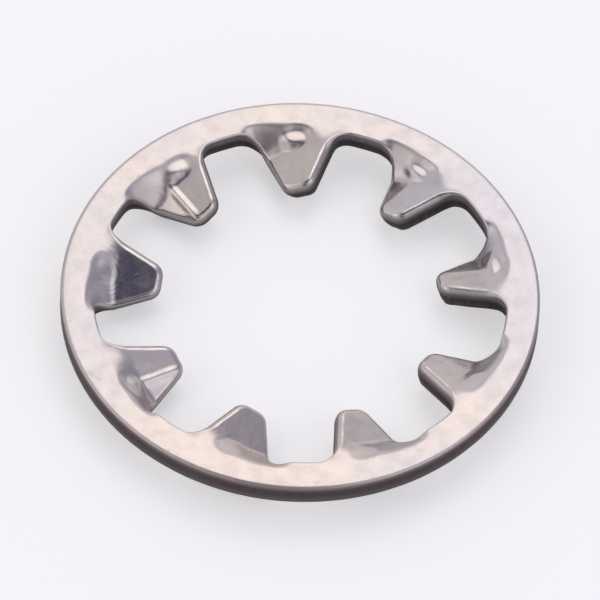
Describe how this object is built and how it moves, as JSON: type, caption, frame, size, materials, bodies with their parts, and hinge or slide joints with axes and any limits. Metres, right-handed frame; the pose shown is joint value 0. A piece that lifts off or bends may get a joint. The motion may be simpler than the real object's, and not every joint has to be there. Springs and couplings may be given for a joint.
{
  "type": "internal tooth lock washer",
  "caption": "Flat steel ring with short tapered teeth that point inwards, each twisted about its length so that one edge bites below the ring; locks an M10 screw.",
  "frame": {"origin": "on the washer's axis, level with the lowered corners of the teeth that it lies on", "axes": "+Z along the washer's axis, out of the ring's flat upper face; +Y along the first tooth"},
  "size_m": [0.018, 0.018, 0.0018],
  "materials": {
    "steel": "tumbled satin, with the cut edges left as stamped"
  },
  "bodies": {
    "root": {"lock_washer": "steel"}
  },
  "joints": []
}
